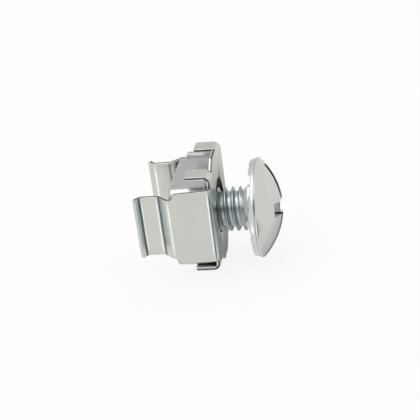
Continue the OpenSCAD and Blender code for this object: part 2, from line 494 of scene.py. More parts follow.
def metal_material(name):
    """A new metal: the material, its tree, its shader, and the output that
    gives a place on the piece."""
    material = bpy.data.materials.new(name)
    tree = fresh_tree(material)
    metal = add(tree, "ShaderNodeBsdfPrincipled", Metallic=1.0)
    add(tree, "ShaderNodeOutputMaterial", Surface=metal.outputs["BSDF"])
    place = add(tree, "ShaderNodeTexCoord").outputs["Object"]
    return material, tree, metal, place


def pattern(tree, place, scale, detail):
    """The strength of a cloudy pattern, from 0 to 1."""
    noise = add(tree, "ShaderNodeTexNoise", Vector=place, Scale=scale, Detail=detail)
    return noise.outputs["Fac"]


def greys(tree, strength, base, shares, ends):
    """The base colour times the first share at the pattern's first end, and
    times the second at its second."""
    ramp = add(tree, "ShaderNodeValToRGB", Fac=strength)
    for step, share, end in zip(ramp.color_ramp.elements, shares, ends):
        step.position = end
        step.color = (*[part * share for part in base], 1.0)
    return ramp.outputs["Color"]


def give_grain(tree, metal, strength, height):
    """Fine bumps that follow a pattern."""
    bump = add(tree, "ShaderNodeBump", Strength=strength, Distance=GRAIN_HEIGHT,
               Height=height)
    feed(tree, metal.inputs["Normal"], bump.outputs["Normal"])


def zinc_material(finish, key):
    """Bright zinc plate on steel, in the finish and colour of that key."""
    base = getattr(finish, key)[:]
    name, rough, grain, fineness, drawn, tone = FINISHES[key]
    material, tree, metal, place = metal_material(name)

    # Slow changes of the plate's grey, as clouds a few millimetres wide.
    clouds = pattern(tree, place, CLOUD_SCALE, CLOUD_DETAIL)
    grey = greys(tree, clouds, base, (1.0 - tone, 1.0), CLOUD_ENDS)

    # Painted shade: the plate is drawn dark and bluish in the hollow of each fold,
    # where the fold shades itself.
    fold = add(tree, "ShaderNodeAttribute", attribute_name=FOLD_SHADE)
    shows_painted_shade = (*finish.fold, 1.0)
    plate = two_colours(tree, fold.outputs["Fac"], grey, shows_painted_shade)
    feed(tree, metal.inputs["Base Color"], plate)

    # Fine grain, drawn out along the rolling direction.
    stretch = add(tree, "ShaderNodeMapping", Vector=place, Scale=drawn)
    lines = pattern(tree, stretch.outputs["Vector"], fineness, GRAIN_DETAIL)
    gloss = add(tree, "ShaderNodeMapRange", Value=lines, To_Min=rough - POLISHED,
                To_Max=rough + MATT)
    feed(tree, metal.inputs["Roughness"], gloss.outputs["Result"])
    give_grain(tree, metal, grain, lines)
    return material


def sheared_material(finish):
    """The dark torn band along the sheared edge of the sheet."""
    material, tree, metal, place = metal_material("Sheared sheet edge")
    tears = pattern(tree, place, TEAR_SCALE, CLOUD_DETAIL)
    grey = greys(tree, tears, finish.cut[:], TEAR_SHARES, TEAR_ENDS)
    feed(tree, metal.inputs["Base Color"], grey)
    metal.inputs["Roughness"].default_value = TEAR_ROUGH
    give_grain(tree, metal, TEAR_GRAIN, tears)
    return material


# -------------------------------------------------------------------- cage

# The rows of points along each flat of a strip, from the plate outward, and
# the columns across it.
WALL_FLATS = (1, 60, 14, 8, 24)
WALL_COLUMNS = 6
TAB_FLATS = (1, 30)
TAB_COLUMNS = 4

# Where shade is painted into the plating in each bend of a strip, from the plate
# outward: how far beyond the bend's middle, and half the width of the painted band,
# in mm.
WALL_SPOTS = ((-0.2, 0.29), (-0.2, 0.29), (-0.36, 0.36), (0.2, 0.31))
TAB_SPOTS = ((0.0, 0.4),)

# Stations of a strip nearer than this are one, in mm.
SAME_STATION = 1e-6

# The radius of the corners at the tips of a lip and of a tab, and the width
# and height of the ones at the tip of a stub, in mm.
LIP_CORNER = 0.1
TAB_CORNER = 0.3
STUB_CORNER = (0.12, 0.08)

# The cut edge: the steps in each of its rounds, the share of the sheet's
# thickness where the torn band ends, and the least cosine of half a corner's
# turn, which keeps its points from moving far.
EDGE_STEPS = 3
TORN_SHARE = 0.6
MITRE_LIMIT = 0.5

# An edge whose direction has this much of +Z in it runs up a lip's tip.
UPRIGHT = 0.9

# The numbers of the cage's materials.
PLATED = 0
TORN = 1


class FoldedStrip:
    """A strip of sheet that starts flat in the plate and is bent out of it.
    Each fold is a flat run, the rows along it, the turn after it and that
    bend's inner radius. Stations hold the place of the sheet's outside and
    the way through it, as (distance from the middle, depth behind the plate's
    face) pairs, and runs their distance along the strip."""

    def __init__(self, start, sheet, folds):
        self.stations = []
        self.hollows = []
        self.runs = [0.0]
        place = Vector((start, 0.0))
        heading = 0.0
        for run, rows, turn, inner in folds:
            along = Vector((math.cos(heading), math.sin(heading)))
            through = Vector((-math.sin(heading), math.cos(heading)))
            for i in range(rows + 1):
                self._add(place + along * (run * i / rows), through, 0.0)
            place = place + along * run
            if turn == 0.0:
                continue
            hand = 1.0 if turn > 0.0 else -1.0
            base = inner + sheet if turn > 0.0 else inner
            centre = place + through * (hand * base)
            for i in range(1, BEND_STEPS + 1):
                at = heading + turn * i / BEND_STEPS
                out = Vector((math.sin(at), -math.cos(at)))
                through = Vector((-math.sin(at), math.cos(at)))
                self._add(centre + out * (hand * base), through, -hand)
            heading += turn
            place = centre + out * (hand * base)

    def _add(self, place, through, hollow):
        """Hollow is 1 where the outside of the sheet is hollow, and -1 where
        the inside is."""
        if self.stations:
            step = (self.stations[-1][0] - place).length
            if step < SAME_STATION:
                return
            self.runs.append(self.runs[-1] + step)
        self.stations.append((place.copy(), through.copy()))
        self.hollows.append(hollow)

    def gap(self, station):
        """How far a station is from the strip's tip."""
        return (self.stations[-1][0] - self.stations[station][0]).length

    def shades(self, spots):
        """How much painted shade darkens the plating at each station, over 0 for the
        outside of the sheet and under 0 for the inside. A spot for each bend gives
        how far beyond the bend's middle its band of painted shade lies, and half its
        width."""
        bends = []
        for i, hollow in enumerate(self.hollows):
            if hollow and (not i or self.hollows[i - 1] != hollow):
                bends.append([hollow, self.runs[i], self.runs[i]])
            elif hollow:
                bends[-1][2] = self.runs[i]
        dark = []
        for run in self.runs:
            most = 0.0
            for (hollow, start, end), (beyond, width) in zip(bends, spots):
                near = abs(run - (start + end) / 2.0 - beyond) / width
                if near < 1.0:
                    level = 0.5 + 0.5 * math.cos(math.pi * near)
                    if level > abs(most):
                        most = level * hollow
            dark.append(most)
        return dark

    def at(self, station, ahead, depth):
        """A point that far ahead of a station and that deep in the sheet. It
        gives the distance from the middle and the depth behind the plate."""
        last = len(self.stations) - 1
        low = min(station, last - 1)
        step = (self.stations[low + 1][0] - self.stations[low][0]).length
        position = station + ahead / step
        low = min(max(int(math.floor(position)), 0), last)
        high = min(low + 1, last)
        part = position - low
        place = self.stations[low][0].lerp(self.stations[high][0], part)
        through = self.stations[low][1].lerp(self.stations[high][1], part)
        point = place + through.normalized() * depth
        return point.x, point.y


def setback(radius, turn):
    """From a fold's corner to the start of its bend."""
    return radius * math.tan(turn / 2.0)


def wall_strip(cage):
    """The strip from the plate through wall, step and ear to the lip."""
    sheet = mm(cage.sheet)
    inner = mm(cage.bend_in)
    hollow = mm(cage.ear_bend_in)
    outer = inner + sheet
    lean = cage.wall_lean
    turn = QUARTER - lean
    start = mm(cage.plate_w) / 2.0 - outer * math.sin(turn)
    bend_end = outer * (1.0 - math.cos(turn))
    wall_len = mm(cage.wall_len)
    step_len = mm(cage.step_len)
    ear_len = mm(cage.ear_len)
    lip_len = mm(cage.lip_len)
    half_ears = mm(cage.ears_w) / 2.0
    wall_end = mm(cage.plate_w) / 2.0 + (wall_len - bend_end) * math.tan(lean)
    step_turn = math.atan2(wall_end - half_ears, step_len - wall_len)
    lip_turn = math.atan2(mm(cage.lips_w) / 2.0 - half_ears, lip_len - ear_len)
    wall_run = (wall_len - bend_end) / math.cos(lean)
    wall_run -= setback(outer, step_turn + lean)
    step_run = (step_len - wall_len) / math.cos(step_turn)
    step_run -= setback(outer, step_turn + lean) + setback(hollow, step_turn)
    ear_run = ear_len - step_len
    ear_run -= setback(hollow, step_turn) + setback(hollow, lip_turn)
    lip_run = (lip_len - ear_len) / math.cos(lip_turn)
    lip_run -= setback(hollow, lip_turn)
    runs = (0.0, wall_run, step_run, ear_run, lip_run)
    turns = (turn, step_turn + lean, -step_turn, -lip_turn, 0.0)
    inners = (inner, inner, hollow, hollow, 0.0)
    return start, FoldedStrip(start, sheet, zip(runs, WALL_FLATS, turns, inners))


def tab_strip(cage):
    """The strip from the plate round a tab's bend to the tab's end."""
    sheet = mm(cage.sheet)
    inner = mm(cage.tab_bend_in)
    start = mm(cage.tabs_h) / 2.0 - inner - sheet
    runs = (0.0, mm(cage.tab_len) - inner - sheet)
    folds = zip(runs, TAB_FLATS, (QUARTER, 0.0), (inner, 0.0))
    return start, FoldedStrip(start, sheet, folds)


def corner_inset(gap, radius):
    """How far a rounded corner pulls in an edge, at that gap from its end."""
    if gap >= radius:
        return 0.0
    return radius - math.sqrt(max(radius * radius - (radius - gap) ** 2, 0.0))


def wall_half_height(cage, behind, gap):
    """Half the height of the wall or ear, at that depth behind the plate and
    that gap from the lip's tip."""
    tall = mm(cage.wall_h) / 2.0
    tall_end = mm(cage.wall_end_h) / 2.0
    ear = mm(cage.ear_h) / 2.0
    middle = mm(cage.shoulder_len)
    radius = (tall_end - ear) / 2.0
    start = middle - radius
    if behind <= start:
        return tall + (tall_end - tall) * behind / start
    if behind <= middle:
        run = behind - start
        return tall_end - corner_inset(radius - run, radius)
    if behind <= middle + radius:
        run = middle + radius - behind
        return ear + corner_inset(radius - run, radius)
    return ear - corner_inset(gap, LIP_CORNER)


def edge_layers(sheet, edge):
    """The layers of a cut edge from the sheet's outside to its inside, as
    (depth, inset) pairs, and the number of the one that starts the torn
    band."""
    layers = [(0.0, edge)]
    for i in range(1, EDGE_STEPS + 1):
        at = QUARTER * i / EDGE_STEPS
        layers.append((edge * (1.0 - math.cos(at)), edge * (1.0 - math.sin(at))))
    torn = len(layers) - 1
    behind = [(sheet - depth, inset) for depth, inset in layers[::-1]]
    return layers + [(sheet * TORN_SHARE, 0.0)] + behind, torn


class SheetBlank:
    """The flat blank of the cage: points with their place in the folded
    sheet, and the faces between them. A point's place is a function of the
    depth in the sheet and the inset of its cut edge."""

    def __init__(self):
        self.points = []
        self.shades = []
        self.faces = []
        self.lookup = {}

    def point(self, key, flat, fold, shade=0.0):
        """The number of the point with that key, made if it is new."""
        if key not in self.lookup:
            self.lookup[key] = len(self.points)
            self.points.append((Vector(flat), fold))
            self.shades.append(shade)
        return self.lookup[key]

    def rim(self):
        """The edges that belong to one face only, with the blank on their
        left side."""
        seen = {}
        for face in self.faces:
            for a, b in zip(face, face[1:] + face[:1]):
                seen[(a, b)] = True
        return [edge for edge in seen if (edge[1], edge[0]) not in seen]

    def inward(self, rim):
        """The way in from each point of the rim, so long that both of its
        edges move in by one."""
        after = dict(rim)
        before = {b: a for a, b in rim}
        ways = {}
        for number in after:
            here = self.points[number][0]
            came = (here - self.points[before[number]][0]).normalized()
            goes = (self.points[after[number]][0] - here).normalized()
            way = Vector((-came.y, came.x)) + Vector((-goes.y, goes.x))
            way.normalize()
            share = max(way.dot(Vector((-came.y, came.x))), MITRE_LIMIT)
            ways[number] = way / share
        return ways


class MakeCage(bpy.types.Operator):
    """Makes the folded spring steel cage"""

    bl_idname = "cage_nut.cage"
    bl_label = "Cage"

    def execute(self, context):
        settings = context.scene.cage_nut
        cage = settings.cage
        self.face_x = mm(CAGE_HIGH.x)
        self.sheet = mm(cage.sheet)
        self.plate_run, self.wall = wall_strip(cage)
        self.tab_start, self.tab = tab_strip(cage)
        self.blank = SheetBlank()
        for side in (-1, 1):
            self.add_wall(cage, side)
        for flip in (-1, 1):
            for side in (-1, 1):
                self.add_tab(cage, flip, side)
        self.add_plate(cage)
        obj = self.thicken(mm(cage.edge))
        zinc = zinc_material(settings.finish, "sheet")
        finish_piece(obj, zinc, sheared_material(settings.finish))
        return {"FINISHED"}

    def plate_fold(self, flat):
        """Leaves a point in the plane of the plate."""
        def fold(depth, shift):
            return Vector((
                self.face_x - depth, flat[0] + shift.x, flat[1] + shift.y,
            ))
        return fold

    def wall_fold(self, side, station, height):
        """Takes a point of a wall to its folded place."""
        def fold(depth, shift):
            out, behind = self.wall.at(station, shift.x * side, depth)
            return Vector((
                self.face_x - behind, side * out, height + shift.y,
            ))
        return fold

    def tab_fold(self, flip, station, across):
        """Takes a point of a tab to its folded place."""
        def fold(depth, shift):
            out, behind = self.tab.at(station, shift.y * flip, depth)
            return Vector((
                self.face_x - behind, across + shift.x, flip * out,
            ))
        return fold

    def add_wall(self, cage, side):
        """A wall, from the plate's side to the tip of its lip."""
        def place(i, part):
            behind = self.wall.stations[i][0].y
            half = wall_half_height(cage, behind, self.wall.gap(i))
            height = half * (2.0 * part - 1.0)
            flat = (side * (self.plate_run + self.wall.runs[i]), height)
            return flat, self.wall_fold(side, i, height)
        self.add_strip(("wall", side), self.wall, WALL_COLUMNS, WALL_SPOTS,
                       side > 0, place)

    def add_tab(self, cage, flip, side):
        """A tab, from the plate's top or bottom edge."""
        inside = mm(cage.tab_in)
        width = self.plate_run - inside

        def place(i, part):
            pull = corner_inset(self.tab.gap(i), TAB_CORNER)
            across = side * (inside + pull + (width - 2.0 * pull) * part)
            flat = (across, flip * (self.tab_start + self.tab.runs[i]))
            return flat, self.tab_fold(flip, i, across)
        self.add_strip(("tab", flip, side), self.tab, TAB_COLUMNS, TAB_SPOTS,
                       (flip > 0) != (side > 0), place)

    def add_strip(self, key, strip, columns, spots, turned, place):
        """A row of points across each station of a strip, and the faces
        between them. Place gives a point's flat place and its fold."""
        dark = strip.shades(spots)
        rows = []
        for i in range(len(strip.stations)):
            row = []
            for j in range(columns + 1):
                flat, fold = place(i, j / columns)
                row.append(self.blank.point((*key, i, j), flat, fold, dark[i]))
            rows.append(row)
        for low, high in zip(rows, rows[1:]):
            for j in range(columns):
                face = [low[j], high[j], high[j + 1], low[j + 1]]
                self.blank.faces.append(face if turned else face[::-1])

    def add_plate(self, cage):
        """The flat plate with its stubs and its round hole."""
        outline = []
        for side in (1, -1):
            edge = [self.blank.lookup[("wall", side, 0, j)]
                    for j in range(WALL_COLUMNS + 1)]
            outline += edge[::side]
            outline += self.plate_end(cage, side)
        hole = []
        radius = mm(cage.hole_d) / 2.0
        for flat in arc((0.0, 0.0), radius, 0.0, 360.0, ROUND_STEPS)[:-1]:
            key = ("hole", len(hole))
            hole.append(self.blank.point(key, flat, self.plate_fold(flat)))
        shape = bmesh.new()
        made = {}
        edges = []
        for loop in (outline, hole):
            for number in loop:
                flat = self.blank.points[number][0]
                made[number] = shape.verts.new((flat.x, flat.y, 0.0))
            for a, b in zip(loop, loop[1:] + loop[:1]):
                edges.append(shape.edges.new((made[a], made[b])))
        numbers = {vert: number for number, vert in made.items()}
        bmesh.ops.triangle_fill(
            shape, use_beauty=True, use_dissolve=False, edges=edges,
            normal=(0.0, 0.0, 1.0),
        )
        for face in shape.faces:
            ring = [numbers[vert] for vert in face.verts]
            if face.normal.z < 0.0:
                ring.reverse()
            self.blank.faces.append(ring)
        shape.free()

    def plate_end(self, cage, flip):
        """The outline of the plate's top or bottom, from one wall to the
        other: up to a tab, along it, round the stub, and the same back."""
        tip = mm(cage.stub_tip_w) / 2.0
        root = mm(cage.stub_root_w) / 2.0
        root_z = mm(cage.stub_root_h) / 2.0
        tip_z = mm(CAGE_HIGH.z)
        half = [
            (root, self.tab_start),
            (root, root_z),
            (tip + STUB_CORNER[0], tip_z - STUB_CORNER[1]),
            (tip, tip_z),
        ]
        corners = half + [(-x, z) for x, z in half[::-1]]
        ring = []
        for j in range(TAB_COLUMNS, -1, -1):
            ring.append(self.blank.lookup[("tab", flip, flip, 0, j)])
        for n, (x, z) in enumerate(corners):
            flat = (x * flip, z * flip)
            key = ("stub", flip, n)
            ring.append(self.blank.point(key, flat, self.plate_fold(flat)))
        for j in range(TAB_COLUMNS + 1):
            ring.append(self.blank.lookup[("tab", flip, -flip, 0, j)])
        return ring

    def thicken(self, edge):
        """Gives the folded blank its thickness and its rounded cut edges."""
        rim = self.blank.rim()
        inward = self.blank.inward(rim)
        layers, torn_layer = edge_layers(self.sheet, edge)
        skins = (0, len(layers) - 1)
        points = []
        shades = []
        rings = []
        for layer, (depth, inset) in enumerate(layers):
            ring = {}
            for number, (flat, fold) in enumerate(self.blank.points):
                if number not in inward and layer not in skins:
                    continue
                shift = inward.get(number, Vector((0.0, 0.0))) * inset
                ring[number] = len(points)
                points.append(fold(depth, shift))
                # Painted shade sits on the hollow side of a fold: on the outside
                # where the outside is hollow, on the inside where the inside is.
                hollow = self.blank.shades[number]
                outside = hollow if depth < self.sheet / 2.0 else -hollow
                shades.append(max(outside, 0.0))
            rings.append(ring)
        faces = []
        places = []
        for face in self.blank.faces:
            faces.append([rings[0][n] for n in face])
            faces.append([rings[-1][n] for n in face[::-1]])
            places += [PLATED, PLATED]
        for a, b in rim:
            for layer, (low, high) in enumerate(zip(rings, rings[1:])):
                faces.append([low[b], low[a], high[a], high[b]])
                along = (points[low[b]] - points[low[a]]).normalized()
                lip_tip = points[low[a]].x < 0.0 and abs(along.z) > UPRIGHT
                torn = layer == torn_layer and not lip_tip
                places.append(TORN if torn else PLATED)
        obj = mesh_object("folded_cage", points, faces, places)
        shade = obj.data.attributes.new(FOLD_SHADE, "FLOAT", "POINT")
        shade.data.foreach_set("value", shades)
        outward(obj)
        return obj


# --------------------------------------------------------------------- nut

# The steps of the nut's rounded edges, and the angle over which they are
# rounded. The bore's tool reaches this far past the nut, in mm.
NUT_EDGE_STEPS = 6
NUT_EDGE_LIMIT = 60.0
BORE_REACH = 1.0

# A face whose normal has this much of X in it is one of the nut's flats.
FLAT_FACE = 0.9


class MakeNut(bpy.types.Operator):
    """Makes the square nut"""

    bl_idname = "cage_nut.nut"
    bl_label = "Square nut"

    def execute(self, context):
        settings = context.scene.cage_nut
        nut = settings.nut
        low = NUT_LOW / MM
        high = NUT_HIGH / MM
        middle = (low.z + high.z) / 2.0
        obj = self.make_body(nut, low, high, middle)
        radius = mm(nut.bore_d) / 2.0
        mouth = mm(nut.mouth)
        wide = radius + mouth + BORE_REACH
        profile = [
            (0.0, low.x - BORE_REACH),
            (wide, low.x - BORE_REACH),
            (radius, low.x + mouth),
            (radius, high.x - mouth),
            (wide, high.x + BORE_REACH),
            (0.0, high.x + BORE_REACH),
        ]
        cut(obj, lathe("bore_tool", profile, ROUND_STEPS))
        # Painted shade: the bore and its mouth are drawn in a darker zinc than the
        # nut's faces.
        for face in obj.data.polygons:
            centre = face.center / MM
            off = math.hypot(centre.y, centre.z - middle)
            if off < radius + mouth and abs(face.normal.x) < FLAT_FACE:
                face.material_index = 1
        zinc = zinc_material(settings.finish, "nut")
        finish_piece(obj, zinc, zinc_material(settings.finish, "bore"))
        return {"FINISHED"}

    def make_body(self, nut, low, high, middle):
        """The square body with its rounded corners and edges."""
        corner = mm(nut.corner)
        half = (high.y - low.y) / 2.0 - corner
        outline = []
        for n, (y, z) in enumerate(((1, 1), (-1, 1), (-1, -1), (1, -1))):
            centre = (y * half, middle + z * half)
            outline += arc(centre, corner, 90.0 * n, 90.0 * n + 90.0, CORNER_STEPS)
        count = len(outline)
        points = [(x, y, z) for x in (low.x, high.x) for y, z in outline]
        faces = [list(range(count)), list(range(count, 2 * count))]
        obj = mesh_object("square_nut_body", points, faces + prism_sides(count))
        outward(obj)
        soften(obj, nut.edge, NUT_EDGE_STEPS, NUT_EDGE_LIMIT)
        return obj


# ------------------------------------------------------------------- screw

# The head's height, and where it starts along +X, in mm.
HEAD_HEIGHT = 3.85
HEAD_UNDERSIDE = mm(SCREW_HIGH.x) - HEAD_HEIGHT

# The head's outline: the radius of its foot, in mm, the ends of the foot's and
# the start of the rim's arc, in degrees, how far the crease's lower lip lies
# out and down, in mm, and the steps in each arc.
FOOT_ROUND = 0.1
FOOT_ENDS = (-90.0, -15.0)
RIM_START = 6.0
CREASE_LIP = (0.01, 0.04)
FOOT_STEPS = 5
RIM_STEPS = 10
DOME_STEPS = 40

# How far the drive's tools stand over the head and past its side, in mm.
DRIVE_OVER = 0.6
DRIVE_PAST = 1.0

# The drive's soft edges: their radius in mm, their steps, and the angle over
# which an edge is softened, in degrees.
SOFT_EDGE = 0.12
SOFT_STEPS = 3
SOFT_LIMIT = 42.0

# The floor of the cross at the end of an arm and nearer the middle: how far
# in from the end, in mm, and the share of the cross's depth there.
CROSS_FLOOR = ((0.0, 0.35), (1.0, 0.7))

# A face of the head is inside the drive where it is this deep under the dome, this
# near the axis and this far above the crease. One of the crease is this far from the
# axis. Both take the drive's darker zinc as painted shade. All in mm.
DRIVE_DEEP = 0.2
DRIVE_NEAR = 5.9
DRIVE_ABOVE = 0.4
CREASE_OFF = 6.2

# The chamfer of the screw's tip, in from its side and along it, in mm.
TIP_CHAMFER = (0.25, 0.3)

# The neck's outline, in mm: how far its foot is sunk in the thread's core, and
# its points, out from the crest and on from the neck's start or the head.
NECK_SUNK = 0.05
NECK_FROM_START = ((-0.16, 0.5),)
NECK_FROM_HEAD = ((-0.06, -0.1), (0.25, 0.3))

# The thread's section: half its width at the root and at the crest, as shares
# of the pitch, and how far out it starts, as a share of the depth.
THREAD_ROOT = 0.42
THREAD_CREST = 0.06
THREAD_SUNK = -0.3

# The thread's run: the sections in a turn, its least size where it fades, as
# a share, and in mm how far from the screw's tip it starts, how far short of
# the head it stops, and the length of helix over which it fades.
THREAD_SECTIONS = 72
THREAD_THIN = 0.02
THREAD_START = 0.1
THREAD_SHORT = 0.45
THREAD_FADE = 6.0

# The share of the way round the flange that its teeth take, and the sides,
# the lengths and the end rings of a tooth's faces.
TOOTH_SHARE = 0.8
TOOTH_SIDES = 24
TOOTH_LENGTHS = 4
TOOTH_RINGS = 2


def geometry_tree(name, sizes):
    """A new tree with an input for each size and one for the material."""
    tree = bpy.data.node_groups.new(name, "GeometryNodeTree")
    face = tree.interface
    face.new_socket("Geometry", in_out="OUTPUT", socket_type="NodeSocketGeometry")
    for label, kind in sizes:
        face.new_socket(label, in_out="INPUT", socket_type=f"NodeSocket{kind}")
    face.new_socket("Material", in_out="INPUT", socket_type="NodeSocketMaterial")
    return tree, add(tree, "NodeGroupInput").outputs


def end_tree(tree, sizes, geometry):
    """Ends a tree in one real mesh of its material."""
    real = add(tree, "GeometryNodeRealizeInstances", Geometry=geometry)
    paint = add(tree, "GeometryNodeSetMaterial", Material=sizes["Material"],
                Geometry=real.outputs["Geometry"])
    add(tree, "NodeGroupOutput", Geometry=paint.outputs["Geometry"])
    return tree


def thread_tree():
    """A thread: a trapezium swept along a right-hand helix, fading out at
    both ends."""
    tree, sizes = geometry_tree("Thread", (
        ("Root radius", "Float"), ("Depth", "Float"), ("Pitch", "Float"),
        ("Length", "Float"), ("Fade", "Float"),
    ))
    turns = worked_out(tree, "DIVIDE", sizes["Length"], sizes["Pitch"])
    spiral = add(
        tree, "GeometryNodeCurveSpiral", Resolution=THREAD_SECTIONS,
        Reverse=True, Rotations=turns, Start_Radius=sizes["Root radius"],
        End_Radius=sizes["Root radius"], Height=sizes["Length"],
    )
    upright = add(tree, "GeometryNodeSetCurveNormal", mode="Z_UP",
                  Curve=spiral.outputs["Curve"])

    # The ridge fades over the last part of the helix at either end.
    along = add(tree, "GeometryNodeSplineParameter").outputs["Length"]
    whole = add(tree, "GeometryNodeSplineLength").outputs["Length"]
    left = worked_out(tree, "SUBTRACT", whole, along)
    fade = add(
        tree, "ShaderNodeMapRange", interpolation_type="SMOOTHSTEP",
        Value=worked_out(tree, "MINIMUM", left, along),
        From_Max=sizes["Fade"], To_Min=THREAD_THIN,
    )
    thin = add(tree, "GeometryNodeSetCurveRadius",
               Curve=upright.outputs["Curve"], Radius=fade.outputs["Result"])

    # The ridge's section: wide at the root, a narrow flat at the crest. The
    # section's +X points away from the screw's axis.
    half_root = worked_out(tree, "MULTIPLY", sizes["Pitch"], THREAD_ROOT)
    half_crest = worked_out(tree, "MULTIPLY", sizes["Pitch"], THREAD_CREST)
    sunk = worked_out(tree, "MULTIPLY", sizes["Depth"], THREAD_SUNK)
    section = add(tree, "GeometryNodeCurvePrimitiveQuadrilateral", mode="POINTS")
    corners = (
        (sunk, half_root, 1.0),
        (sizes["Depth"], half_crest, 1.0),
        (sizes["Depth"], half_crest, -1.0),
        (sunk, half_root, -1.0),
    )
    for number, (out, half, sign) in enumerate(corners, 1):
        point = add(tree, "ShaderNodeCombineXYZ", X=out,
                    Y=worked_out(tree, "MULTIPLY", half, sign))
        feed(tree, section.inputs[f"Point {number}"], point.outputs["Vector"])
    sweep = add(
        tree, "GeometryNodeCurveToMesh", Fill_Caps=True,
        Curve=thin.outputs["Curve"], Profile_Curve=section.outputs["Curve"],
    )
    return end_tree(tree, sizes, sweep.outputs["Mesh"])


def teeth_tree():
    """Teeth round a circle: long low ridges that point outward."""
    tree, sizes = geometry_tree("Teeth", (
        ("Count", "Int"), ("Inner radius", "Float"), ("Outer radius", "Float"),
        ("Inner width", "Float"), ("Outer width", "Float"), ("Height", "Float"),
    ))
    half_inner = worked_out(tree, "MULTIPLY", sizes["Inner width"], 0.5)
    half_outer = worked_out(tree, "MULTIPLY", sizes["Outer width"], 0.5)
    run = worked_out(
        tree, "SUBTRACT", sizes["Outer radius"], sizes["Inner radius"])
    ridge = add(
        tree, "GeometryNodeMeshCone", Vertices=TOOTH_SIDES,
        Side_Segments=TOOTH_LENGTHS, Fill_Segments=TOOTH_RINGS,
        Radius_Bottom=half_outer, Radius_Top=half_inner, Depth=run,
    )

    # The cone is flattened to the tooth's height and laid along +X.
    squeeze = worked_out(tree, "DIVIDE", sizes["Height"], half_outer)
    flat = add(tree, "ShaderNodeCombineXYZ", X=squeeze, Y=1.0, Z=1.0)
    thin = add(tree, "GeometryNodeTransform", Geometry=ridge.outputs["Mesh"],
               Scale=flat.outputs["Vector"])
    lay = add(tree, "GeometryNodeTransform", Geometry=thin.outputs["Geometry"],
              Rotation=(0.0, -QUARTER, 0.0))

    ring = add(tree, "GeometryNodeMeshCircle", Vertices=sizes["Count"],
               Radius=sizes["Outer radius"])
    number = add(tree, "GeometryNodeInputIndex").outputs[0]
    share = worked_out(tree, "DIVIDE", number, sizes["Count"])
    turn = worked_out(tree, "MULTIPLY", share, 2.0 * math.pi)
    angles = add(tree, "ShaderNodeCombineXYZ", Z=turn)
    spread = add(
        tree, "GeometryNodeInstanceOnPoints", Points=ring.outputs["Mesh"],
        Instance=lay.outputs["Geometry"], Rotation=angles.outputs["Vector"],
    )
    return end_tree(tree, sizes, spread.outputs["Instances"])


def grow(name, tree, values, start, turn=0.0):
    """A new object from a node tree with the given input values. It is moved
    along the screw's axis to its start, in metres, and turned about it."""
    obj = new_object(name, bpy.data.meshes.new(name))
    modifier = obj.modifiers.new(tree.name, "NODES")
    modifier.node_group = tree
    for socket in tree.interface.items_tree:
        if socket.in_out == "INPUT":
            modifier[socket.identifier] = values[socket.name]
    bake(obj)
    along = Matrix.Translation((0.0, 0.0, start))
    obj.data.transform(on_axis(1.0) @ along @ Matrix.Rotation(turn, 4, "Z"))
    outward(obj)
    return obj


def screw_head_profile(screw):
    """The head's outline as (radius, height) pairs, from its underside."""
    radius = mm(SCREW_HIGH.y)
    rim = mm(screw.rim_round)
    dome = mm(screw.dome_r)
    middle = HEAD_HEIGHT - dome
    rise = math.sqrt((dome - rim) ** 2 - (radius - rim) ** 2)
    turn = math.degrees(math.atan2(rise, radius - rim))
    seat = mm(screw.tooth_h)
    foot = (radius - mm(screw.taper) - FOOT_ROUND, seat + FOOT_ROUND)
    crease = mm(screw.crease_h)
    inside = radius - mm(screw.crease)
    profile = [(0.0, seat)]
    profile += arc(foot, FOOT_ROUND, *FOOT_ENDS, FOOT_STEPS)
    profile += [(inside + CREASE_LIP[0], crease - CREASE_LIP[1]), (inside, crease)]
    profile += arc((radius - rim, middle + rise), rim, RIM_START, turn, RIM_STEPS)
    profile += arc((0.0, middle), dome, turn, 90.0, DOME_STEPS)[1:]
    return profile


def drive_arm(outline, width, turn):
    """A prism with the given (across, height) outline and width, turned
    about the screw's axis."""
    points = []
    for side in (-0.5, 0.5):
        for across, height in outline:
            points.append((across, side * width, height + HEAD_UNDERSIDE))
    count = len(outline)
    ends = [list(range(count)), list(range(2 * count - 1, count - 1, -1))]
    place = on_axis(MM) @ Matrix.Rotation(turn, 4, "Z")
    points = [place @ Vector(p) for p in points]
    obj = mesh_object("drive_tool", points, ends + prism_sides(count))
    outward(obj)
    return obj


